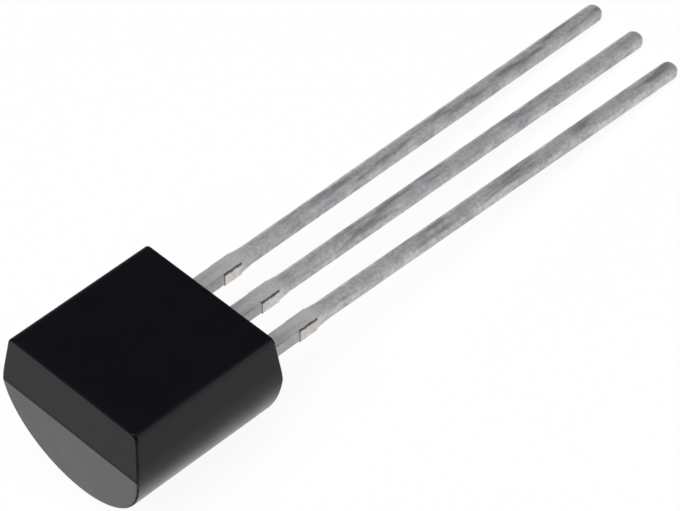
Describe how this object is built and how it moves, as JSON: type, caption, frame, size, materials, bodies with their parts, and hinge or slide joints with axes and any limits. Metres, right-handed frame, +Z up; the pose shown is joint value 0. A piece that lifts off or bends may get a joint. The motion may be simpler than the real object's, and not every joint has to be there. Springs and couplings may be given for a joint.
{
  "type": "transistor",
  "caption": "Small leaded transistor: moulded epoxy body of D section with a flat face and a round back, and straight tin-plated leads in a row with tie bar stubs.",
  "frame": {"origin": "on the floor below the middle of the part's box, as it lies", "axes": "+X along the leads from the body to the tips, +Y across the row of leads from the emitter to the base, +Z up, with the flat face uppermost"},
  "size_m": [0.019, 0.0046, 0.004],
  "materials": {
    "moulding_epoxy": "black epoxy, satin as moulded",
    "tin_plate": "matt tin plate, mottled and lightly scuffed",
    "silicon": "sawn and polished chip",
    "silver_bond": "cured silver paste",
    "gold_wire": "drawn gold wire"
  },
  "bodies": {
    "root": {"moulded_body": "moulding_epoxy", "emitter_lead": "tin_plate", "collector_lead": "tin_plate", "base_lead": "tin_plate", "silicon_die": "silicon", "die_attach": "silver_bond", "emitter_bond_wire": "gold_wire", "base_bond_wire": "gold_wire"}
  },
  "joints": []
}
